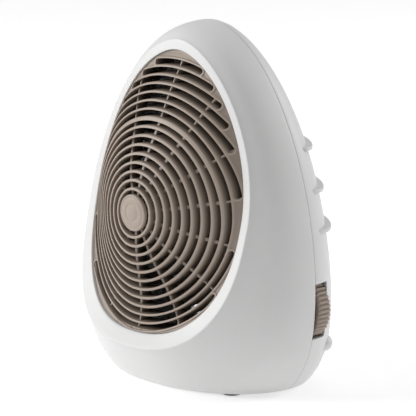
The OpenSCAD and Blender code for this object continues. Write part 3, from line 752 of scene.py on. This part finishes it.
class HEATER_OT_rear_shell(bpy.types.Operator):
    """Rear shell with wheel windows, stand-off ribs, intake slots and screw wells"""

    bl_idname = "heater.rear_shell"
    bl_label = "Rear shell"

    def execute(self, context):
        a = even_angles(SEAM, SHELL_POINTS)
        seam_in = on_floor(seam_line(a, WALL), BASE_T)
        first = back_point(a, 0.0)
        q = np.radians(np.concatenate([[3, 7], np.linspace(11, 86, 26), [88.5]]))
        outer = [back_point(a, v) for v in q]
        depths = np.radians(np.linspace(0, 84, 12))
        rows = [on_floor(back_point(a, v, WALL), BASE_T) for v in depths][::-1]
        rows += round_corner(seam_in, first, outer[0], SEAM_ROUNDING)
        rows += outer
        solid = Solid().loops(rows, cap_start=True, cap_end=True)
        piece = solid.piece("rear_shell", "_skin", SHELL_CREASE, "shell_white")
        trim_base(piece, SHELL_CREASE)
        cut(piece, self.tools(), SHELL_CREASE)
        join(piece, self.ribs(), SHELL_CREASE)
        paint(piece, "white_casing")
        return {"FINISHED"}

    def tools(self):
        """Everything that is cut out of the rear shell."""
        tool = Solid()
        for side in (-1, 1):
            near, far = sorted(side * x for x in WINDOW_X)
            low, high = zip((near, far), WINDOW_Y, WINDOW_Z)
            rounded_box(tool, low, high, WINDOW_EASE)
            for x, z in SCREW_WELLS:
                tool.turned([(WELL_R, WELL_SEAT), (WELL_R, TOOL_END_Y)], (side * x, z), 48)
        for i in range(INTAKE_SLOTS):
            z = INTAKE_Z + INTAKE_PITCH * i
            if min(abs(z - r) for r in RIB_AT) <= 4.0:
                continue
            u = (z - HUB_Z) / INTAKE_REACH
            half = INTAKE_HALF_W * math.sqrt(max(0.04, 1 - u * u))
            rounded_slot(tool, (0.0, z), half, INTAKE_HALF_H, SEAM_Y + 30, TOOL_END_Y)
        tool.turned([(BUSH_R, SEAM_Y + 40), (BUSH_R, TOOL_END_Y)], (BUSH_X, BUSH_Z), 48)
        return new_piece("shell_tools", tool.verts, tool.faces, body=None)

    def ribs(self):
        """Stand-off ribs, heels and the cord bush's seat."""
        extra = Solid()
        for z in RIB_AT:
            path, normal, proud = back_curve(z, RIB_PROUD, math.radians(9))
            rows = []
            for depth, half in ((-1.2, 1.5), (0.75, 1.5), (0.93, 1.3), (1.0, 0.8)):
                reach = proud * depth if depth > 0 else np.full_like(proud, depth)
                at = path + normal * reach
                rows.append(points(at[:, 0], at[:, 1], z + half))
            low = [points(r[:, 0], r[:, 1], 2 * z - r[:, 2]) for r in rows[::-1]]
            section = np.stack(rows + low, axis=1)
            extra.loops(list(section), cap_start=True, cap_end=True)
        for side in (-1, 1):
            x, y, z = HEEL_AT
            rx, ry, rz = HEEL_R
            u = np.linspace(0, 2 * math.pi, 28, endpoint=False)
            rows = []
            for v in np.radians([-88, -60, -35, -10, 10, 35, 60, 88]):
                c = math.cos(v)
                ring = (side * x + rx * c * np.cos(u), y + ry * c * np.sin(u), z + rz * math.sin(v))
                rows.append(points(*ring))
            extra.loops(rows, cap_start=True, cap_end=True)
        u = np.linspace(0, 2 * math.pi, 64, endpoint=False)
        seat = [(BUSH_R, 66.0), (10.6, 66.0), (11.0, 66.4), (11.0, 71.6), (10.6, 72.0), (BUSH_R, 72.0)]
        rows = [points(BUSH_X + r * np.cos(u), y, BUSH_Z + r * np.sin(u)) for r, y in seat]
        extra.loops(rows, closed=True)
        return new_piece("shell_ribs", extra.verts, extra.faces, body=None)


def join(obj, other, angle):
    """Merges another mesh's parts into an object."""
    work = bmesh.new()
    work.from_mesh(obj.data)
    work.from_mesh(other.data)
    work.to_mesh(obj.data)
    work.free()
    bpy.data.objects.remove(other)
    crease(obj.data, angle)


def ring_middle(n):
    """Height of a ring's centre; the larger rings sit a little lower."""
    return HUB_Z - RING_DROP * min(n, FULL_SLOTS - 1)


class Slot:
    """A ring-shaped gap of the grille between two angles, with round ends."""

    def __init__(self, inner, outer, ends=None):
        self.mid, self.half, self.ends = (inner + outer) / 2, (outer - inner) / 2, ends
        self.z = ring_middle(FULL_SLOTS)

    def distance(self, x, z):
        """Signed distance to the gap's outline; negative inside."""
        r, angle = np.hypot(x, z - self.z), np.arctan2(x, z - self.z)
        band = np.abs(r - self.mid) - self.half
        if self.ends is None:
            return band
        centre, reach = self.ends
        off = np.abs((angle - centre + math.pi) % (2 * math.pi) - math.pi)
        ex, ez = self.mid * math.sin(reach), self.mid * math.cos(reach)
        end = np.hypot(r * np.sin(off) - ex, r * np.cos(off) - ez) - self.half
        return np.where(off <= reach, band, end)

    def outline(self, offset, step):
        """Closed outlines at a distance from the gap."""
        low, high = self.mid - self.half - offset, self.mid + self.half + offset
        if self.ends is None:
            return [self._ring(low, step), self._ring(high, step)]
        centre, reach = self.ends
        r = self.half + offset
        turn = np.linspace(-reach, reach, max(8, int(2 * reach * high / step)))
        ex, ez = self.mid * math.sin(reach), self.mid * math.cos(reach)
        ox, oz = math.sin(reach), math.cos(reach)
        cap = []
        for t in np.linspace(0, math.pi, 14)[1:-1]:
            c, s = math.cos(t), math.sin(t)
            cap.append((ex + r * (ox * c + oz * s), ez + r * (oz * c - ox * s)))
        pts = [(high * math.sin(t), high * math.cos(t)) for t in turn]
        pts += cap
        pts += [(low * math.sin(t), low * math.cos(t)) for t in turn[::-1]]
        pts += [(-x, z) for x, z in cap[::-1]]
        p = np.array(pts)
        c, s = math.cos(centre), math.sin(centre)
        return [np.stack([p[:, 0] * c + p[:, 1] * s, self.z - p[:, 0] * s + p[:, 1] * c], axis=1)]

    def _ring(self, r, step):
        t = np.linspace(0, 2 * math.pi, max(40, int(2 * math.pi * r / step)), endpoint=False)
        return np.stack([r * np.sin(t), self.z + r * np.cos(t)], axis=1)


class HEATER_OT_grille(bpy.types.Operator):
    """Domed grille: rings, rimmed slots, border and sunk spokes"""

    bl_idname = "heater.grille"
    bl_label = "Grille"

    EASE = 0.4
    WEB_SINK = 0.9
    GAP = 0.4
    SKIRT = 24.0

    def execute(self, context):
        prefs = settings()
        self.pitch, self.width = prefs.ring_pitch / MM, prefs.ring_width / MM
        self.depth = prefs.blade_depth / MM
        solid = Solid()
        for n in range(1, FULL_SLOTS):
            self.ring(solid, n)
        self.hub(solid)
        for k in range(SPOKES):
            self.spoke(solid, 2 * math.pi * k / SPOKES)
        border = self.border()
        piece = solid.piece("grille", "_moulding", GRILLE_CREASE, "grille_taupe")
        join(piece, border, GRILLE_CREASE)
        join(piece, self.skirt(), GRILLE_CREASE)
        # Depth marks for the painted shade of the grille.
        self.mark_depth(piece)
        # The grille's finish carries painted shade that darkens the blades towards their roots.
        paint(piece, "taupe_grille_painted_shade")
        return {"FINISHED"}

    def skirt(self):
        """Wall that runs back from the border, inside the opening."""
        u = even_angles(OPENING, SKIRT_POINTS)
        rows = []
        for inset, back in ((0.9, 1.6), (2.3, 1.6), (3.6, self.SKIRT), (2.2, self.SKIRT)):
            x, z = outline(OPENING, u, inset)
            rows.append(points(x, opening_y(x, z) + DOME_EDGE_STEP + back, z))
        wall = Solid().loops(rows, closed=True)
        return new_piece("grille_skirt", wall.verts, wall.faces, GRILLE_CREASE, None)

    def mark_depth(self, piece):
        """Notes on each point how far it lies behind the dome, for the painted shade of the grille's
        finish.
        """
        mesh = piece.data
        p = np.empty(len(mesh.vertices) * 3)
        mesh.vertices.foreach_get("co", p)
        p = p.reshape(-1, 3) / MM
        behind = p[:, 1] - dome(p[:, 0], p[:, 2])
        step = 2 * math.pi / SPOKES
        angle = np.arctan2(p[:, 0], p[:, 2] - HUB_Z)
        across = np.hypot(p[:, 0], p[:, 2] - HUB_Z) * np.sin(angle - step * np.round(angle / step))
        # Spokes count as less deep, so the painted shade leaves them lighter.
        behind -= np.where((np.abs(across) < 1.5) & (behind > 2.0), np.minimum(behind, 3.4), 0)
        sunk = np.clip(behind / self.depth, 0, 1).astype(np.float32)
        mesh.attributes.new(SHADE_ATTRIBUTE, "FLOAT", "POINT").data.foreach_set("value", sunk)

    def ring_outer(self, n):
        """Outer radius of ring n; the partial rings stand a little closer."""
        inner = min(n, FULL_SLOTS - 1)
        return HUB_R + RING_OUT + inner * self.pitch + (n - inner) * (self.pitch - OUTER_SQUEEZE)

    def ring_width_at(self, n, angle):
        """Front width of ring n; the ninth is broader over the top."""
        width = self.width + 0.4
        if n == 9:
            width = width + 1.1 * np.clip(np.cos(angle), 0, 1) ** 0.8
        return width + 0 * angle

    def ring(self, solid, n):
        """One ring blade with an eased front edge."""
        a = np.linspace(0, 2 * math.pi, 220 + 12 * n, endpoint=False)
        outer, width, depth = self.ring_outer(n), self.ring_width_at(n, a), self.depth
        ease = self.EASE
        flat = 0.35
        profile = [(0, ease), (0.12, 0.12), (flat, 0), (1 - flat, 0), (0.88, 0.12), (1, ease)]
        profile += [(0.85, depth), (0.15, depth)]
        rows = []
        for across, back in profile:
            near, away = across / flat * ease / width, 1 - (1 - across) / flat * ease / width
            share = np.where(across <= 0.5, near, away)
            if back == self.depth:
                share = across
            r = outer - width * share
            x, z = r * np.sin(a), ring_middle(n) + r * np.cos(a)
            rows.append(points(x, dome(x, z) + back, z))
        solid.loops(rows, closed=True)

    def hub(self, solid):
        """Boss behind the hub disc."""
        a = np.linspace(0, 2 * math.pi, 120, endpoint=False)
        rows = []
        for r, y in ((HUB_R - 0.6, DOME_Y + 3.0), (HUB_R, DOME_Y + 3.6), (HUB_R, DOME_Y + 9.0)):
            rows.append(points(r * np.cos(a), y, HUB_Z + r * np.sin(a)))
        solid.loops(rows, cap_start=True, cap_end=True)

    def spoke(self, solid, angle):
        """A spoke set back behind the rings, broader near the hub."""
        limit = 60.0
        while egg_reach(limit * math.sin(angle), HUB_Z + limit * math.cos(angle)) < 0.965:
            limit += 0.5
        along = np.array([math.sin(angle), math.cos(angle)])
        across = np.array([along[1], -along[0]])
        knee = self.ring_outer(9) - 1.0
        stout = (HUB_R - 2, min(knee, limit), 1.35, 4.6)
        slim = (knee - 0.5, limit, 0.8, 4.3)
        for start, end, half, sink in (stout, slim):
            if end - start < 1:
                continue
            rows = []
            for r in np.linspace(start, end, 16):
                x, z = along * r + [0, HUB_Z]
                y = float(dome(x, z)) + sink * (1 - 0.3 * (r / limit) ** 3)
                ring = []
                for w, back in ((-half, 0.35), (-half + 0.35, 0), (half - 0.35, 0), (half, 0.35)):
                    ring.append((x + across[0] * w, y + back, z + across[1] * w))
                rear = float(dome(x, z)) + self.depth - 0.4
                for w in (half, -half):
                    ring.append((x + across[0] * w, rear, z + across[1] * w))
                rows.append(np.array(ring))
            solid.loops(rows, cap_start=True, cap_end=True)

    def slots(self):
        """The gaps that reach the border, with their ends kept clear of it."""
        out = [Slot(self.ring_outer(FULL_SLOTS - 1), self.ring_outer(FULL_SLOTS) - self.width)]
        for n in range(FULL_SLOTS, TOP_RING):
            for centre in (0.0, math.pi):
                if centre and n >= LOW_RING:
                    continue
                inner, outer = self.ring_outer(n), self.ring_outer(n + 1) - self.width
                half, mid = (outer - inner) / 2, (outer + inner) / 2
                t = np.linspace(0, math.pi * 0.75, 2000)
                x, z = mid * np.sin(centre + t), ring_middle(n) + mid * np.cos(centre + t)
                room = self.edge_room(x, z)
                web = THIN_WEB if n == FULL_SLOTS or centre else WEB
                tight = room < half + web
                clear = np.argmax(tight) if tight.any() else len(t) - 1
                if clear > 20:
                    out.append(Slot(inner, outer, (centre, t[clear - 1])))
        return out

    @staticmethod
    def edge_room(x, z):
        """Rough distance from points inside the opening to its edge."""
        u = np.linspace(0, 2 * math.pi, 1500)
        ex, ez = outline(OPENING, u)
        inside = egg_reach(x, z) < 0.9999
        d = np.sqrt(((x[:, None] - ex) ** 2 + (z[:, None] - ez) ** 2).min(axis=1))
        return np.where(inside, d, -d)

    def border(self):
        """Web between the outermost ring slots and the opening, as one triangulated plate."""
        slots = self.slots()
        ease, rim = self.EASE, self.width
        levels = (0.0, 0.12, ease, rim - ease, rim - 0.1, rim + 0.15)
        u = even_angles(OPENING, BORDER_POINTS)
        verts, edges = [], []

        def add(loop):
            start, count = len(verts), len(loop)
            verts.extend(Vector((float(p[0]), float(p[1]))) for p in loop)
            edges.extend((start + i, start + (i + 1) % count) for i in range(count))

        for inset in (self.GAP, self.GAP + 0.5, 2.2):
            p = opening_line(u, inset)
            add(p[:, [0, 2]])
        for k, slot in enumerate(slots):
            for offset in levels:
                for j, loop in enumerate(slot.outline(offset, 1.3)):
                    if k == 0 and j == 0:
                        continue
                    inside = egg_reach(loop[:, 0], loop[:, 1]) < 0.985
                    inside &= self.nearest(slots, loop[:, 0], loop[:, 1]) > offset - 0.02
                    if inside.all():
                        add(loop)
                    else:
                        self.add_runs(loop, inside, verts, edges)
        half, low, high = OPENING[0], OPENING[1] - OPENING[3], OPENING[1] + OPENING[2]
        gx, gz = np.meshgrid(np.arange(-half, half, 2.6), np.arange(low, high, 2.6))
        gx[::2] += 1.3
        spread = np.stack([gx.ravel(), gz.ravel()], axis=1)
        far = self.nearest(slots, spread[:, 0], spread[:, 1]) > rim + 0.8
        far &= self.edge_room(*spread.T) > 3.4
        verts.extend(Vector((float(a), float(b))) for a, b in spread[far])
        made = delaunay_2d_cdt(verts, edges, [], 0, 1e-5)
        p = np.array([(v.x, v.y) for v in made[0]])
        tri = np.array([f for f in made[2] if len(f) == 3])
        middle = p[tri].mean(axis=1)
        d = self.nearest(slots, middle[:, 0], middle[:, 1])
        from_hub = np.hypot(middle[:, 0], middle[:, 1] - ring_middle(FULL_SLOTS))
        outside = from_hub > self.ring_outer(FULL_SLOTS) - self.width
        edge = self.inside_loop(middle, np.stack(outline(OPENING, u, self.GAP), axis=1))
        tri = tri[(d > 0) & outside & edge]
        d = np.maximum(self.nearest(slots, p[:, 0], p[:, 1]), 0)
        bend = np.sqrt(np.clip(1 - ((ease - d) / ease) ** 2, 0, 1))
        curve = np.where(d < ease, ease * (1 - bend), 0.0)
        step = np.clip((d - (rim - ease)) / (ease + 0.15), 0, 1)
        y = dome(p[:, 0], p[:, 1]) + curve + self.WEB_SINK * step * step * (3 - 2 * step)
        used = np.unique(tri)
        renumber = -np.ones(len(p), int)
        renumber[used] = np.arange(len(used))
        tri = renumber[tri]
        front = points(p[used, 0], y[used], p[used, 1])
        back = points(p[used, 0], dome(p[used, 0], p[used, 1]) + self.depth, p[used, 1])
        rim_only = self.nearest(slots, p[used, 0], p[used, 1]) > rim + 1.0
        back[rim_only, 1] = front[rim_only, 1] + 2.4
        count = len(front)
        faces = [tuple(t) for t in tri] + [(t[2] + count, t[1] + count, t[0] + count) for t in tri]
        seen = {}
        for t in tri:
            for i in range(3):
                e = (t[i], t[(i + 1) % 3])
                seen[e] = seen.get(e, 0) + 1
        for (i, j), n in seen.items():
            if (j, i) not in seen:
                faces.append((j, i, i + count, j + count))
        faces = [tuple(int(i) for i in f) for f in faces]
        return new_piece("grille_border", np.vstack([front, back]), faces, GRILLE_CREASE, None)

    @staticmethod
    def add_runs(loop, inside, verts, edges):
        """Adds only the stretches of a loop that lie within the opening."""
        count = len(loop)
        index = {}
        for i in range(count):
            if inside[i]:
                index[i] = len(verts)
                verts.append(Vector((float(loop[i, 0]), float(loop[i, 1]))))
        for i in index:
            k = (i + 1) % count
            if k in index:
                edges.append((index[i], index[k]))

    @staticmethod
    def nearest(slots, x, z):
        """Signed distance to the nearest slot."""
        return np.min([s.distance(x, z) for s in slots], axis=0)

    @staticmethod
    def inside_loop(p, loop):
        """Whether each point lies inside a closed loop."""
        a, b = loop, np.roll(loop, -1, axis=0)
        x, z = p[:, 0][:, None], p[:, 1][:, None]
        crosses = (a[:, 1] > z) != (b[:, 1] > z)
        with np.errstate(divide="ignore", invalid="ignore"):
            at = a[:, 0] + (z - a[:, 1]) * (b[:, 0] - a[:, 0]) / (b[:, 1] - a[:, 1])
        return ((crosses & (x < at)).sum(axis=1) % 2) == 1


class HEATER_OT_hub_cap(bpy.types.Operator):
    """Hub disc with an eased rim and two shallow circles"""

    bl_idname = "heater.hub_cap"
    bl_label = "Hub cap"

    def execute(self, context):
        front = DOME_Y - 0.2
        section = [(0.05, 0.0), (2.2, 0.0), (2.6, 0.06), (5.7, 0.08)]
        section += [(6.1, 0.3), (6.5, 0.34), (6.9, 0.16), (9.0, 0.2), (11.2, 0.34)]
        section += [(11.6, 0.62), (12.0, 0.66), (12.4, 0.44), (13.0, 0.52)]
        section += [(13.5, 0.7), (13.85, 1.05), (14.0, 1.5), (14.0, 3.2), (0.05, 3.2)]
        disc = Solid().turned([(r, front + y) for r, y in section], (0.0, HUB_Z), 128)
        stands = {"slot": "grille_taupe", "stands_for": ("hub_cap",)}
        piece = new_piece("hub_disc", disc.verts, disc.faces, DISC_CREASE, **stands)
        paint(piece, "taupe_disc")
        return {"FINISHED"}


class HEATER_OT_thumbwheels(bpy.types.Operator):
    """Ridged thermostat and selector wheels"""

    bl_idname = "heater.thumbwheels"
    bl_label = "Thumbwheels"

    def execute(self, context):
        for side, control in ((1, "thermostat"), (-1, "selector")):
            wheel = Solid()
            self.wheel(wheel, side * WHEEL_X)
            node, body = control + "_wheel", control + "_knob"
            piece = wheel.piece(node, "_ridged", SHELL_CREASE, "wheel_taupe", body)
            paint(piece, "taupe_wheel")
        return {"FINISHED"}

    def wheel(self, solid, x):
        """Ridges with rounded crests; both faces are dished towards the hub."""
        ridges = settings().wheel_ridges
        a = np.linspace(0, 2 * math.pi, ridges * 14, endpoint=False)
        crest = np.abs(np.cos(a * ridges / 2)) ** 1.3
        y0, y1 = WHEEL_Y, WHEEL_Y + WHEEL_T

        def row(base, swell, y):
            r = base + swell * crest
            return points(x + r * np.cos(a), y, WHEEL_Z + r * np.sin(a))

        front = [(3.05, 0.6), (6.5, 0.6), (7.0, 0.2), (7.4, 2.6), (18.4, 2.6), (18.8, 0.2), (21.0, 0.0)]
        rear = [(21.0, 0.0), (18.8, 0.2), (18.4, 1.6), (5.0, 1.2), (4.4, 0.4), (3.05, 0.4)]
        tread = [(2.2, 0.7, 0.0), (2.0, 1.4, 0.25), (1.8, 1.75, 0.9), (1.8, 1.8, 2.2)]
        rows = [row(r, 0, y0 + d) for r, d in front]
        rows += [row(WHEEL_R - under, swell, y0 + d) for under, swell, d in tread]
        rows += [row(WHEEL_R - under, swell, y1 - d) for under, swell, d in tread[::-1]]
        rows += [row(r, 0, y1 - d) for r, d in rear]
        solid.loops(rows, closed=True)


class HEATER_OT_inner_works(bpy.types.Operator):
    """Finishes of the motor, fan, heating block, controls, screws and pads"""

    bl_idname = "heater.inner_works"
    bl_label = "Inner works"

    def execute(self, context):
        for finish, names in NODE_FINISH.items():
            for name in names:
                paint(NODES[name], finish)
        return {"FINISHED"}


class HEATER_OT_stage(bpy.types.Operator):
    """Floor, soft lights and camera"""

    bl_idname = "heater.stage"
    bl_label = "Stage"

    def execute(self, context):
        self.floor()
        self.lights()
        self.camera()
        return {"FINISHED"}

    def floor(self):
        """Pale round sheet that glows a little, so that it stays even."""
        ring = np.linspace(0, 2 * math.pi, 96, endpoint=False)
        verts = points(FLOOR_R * np.cos(ring), FLOOR_R * np.sin(ring), 0)
        sheet = new_piece("floor_sheet", verts, [tuple(range(len(verts)))], DISC_CREASE, None)
        colour = tuple(settings().floor_colour)
        glow = {"Emission_Color": (1.0, 1.0, 1.0, 1.0), "Emission_Strength": FLOOR_GLOW}
        sheet.data.materials.append(moulded("floor_paint", colour, 0.75, 0.02, 400, 0.01, **glow))

    def lights(self):
        """Even surroundings and three soft lamps."""
        world = bpy.data.worlds.new("studio")
        world.use_nodes = True
        back = world.node_tree.nodes["Background"]
        back.inputs["Color"].default_value = (1.0, 1.0, 1.0, 1.0)
        back.inputs["Strength"].default_value = WORLD_LIGHT
        bpy.context.scene.world = world
        bpy.context.scene.view_settings.view_transform = "Standard"
        for lamp in LAMPS:
            self.panel(*lamp)

    def panel(self, name, place, size, power):
        """A square soft lamp turned towards the heater."""
        data = bpy.data.lights.new(name, "AREA")
        data.shape, data.size, data.energy = "SQUARE", size, power
        lamp = bpy.data.objects.new(name, data)
        lamp.location = place
        aim = Vector(LAMP_AIM) - Vector(place)
        lamp.rotation_euler = aim.to_track_quat("-Z", "Y").to_euler()
        bpy.context.scene.collection.objects.link(lamp)

    def camera(self):
        """Long lens, from the front right and a little above."""
        data = bpy.data.cameras.new("camera")
        data.sensor_width, data.lens = SENSOR, LENS
        data.clip_end = 50.0
        cam = bpy.data.objects.new("camera", data)
        back = Vector(CAMERA_SIDE).normalized()
        cam.location = Vector(CAMERA_AIM) + back * CAMERA_AWAY
        cam.rotation_euler = (-back).to_track_quat("-Z", "Y").to_euler()
        bpy.context.scene.collection.objects.link(cam)
        bpy.context.scene.camera = cam


STEPS = (
    HEATER_OT_front_shell,
    HEATER_OT_rear_shell,
    HEATER_OT_grille,
    HEATER_OT_hub_cap,
    HEATER_OT_thumbwheels,
    HEATER_OT_inner_works,
    HEATER_OT_stage,
)


class HEATER_PT_sidebar(bpy.types.Panel):
    """Lists the heater's settings and pieces"""

    bl_label = "Heater"
    bl_idname = "HEATER_PT_sidebar"
    bl_space_type = "VIEW_3D"
    bl_region_type = "UI"
    bl_category = "Heater"

    def draw(self, context):
        for name in HeaterSettings.__annotations__:
            self.layout.prop(context.scene.heater, name)
        for step in STEPS:
            self.layout.operator(step.bl_idname)


CLASSES = (HeaterSettings, *STEPS, HEATER_PT_sidebar)


def register():
    for item in CLASSES:
        bpy.utils.register_class(item)
    bpy.types.Scene.heater = bpy.props.PointerProperty(type=HeaterSettings)


def unregister():
    del bpy.types.Scene.heater
    for item in reversed(CLASSES):
        bpy.utils.unregister_class(item)


def main():
    register()
    bpy.ops.heater.front_shell()
    bpy.ops.heater.rear_shell()
    bpy.ops.heater.grille()
    bpy.ops.heater.hub_cap()
    bpy.ops.heater.thumbwheels()
    bpy.ops.heater.inner_works()
    bpy.ops.heater.stage()


if __name__ == "__main__":
    main()
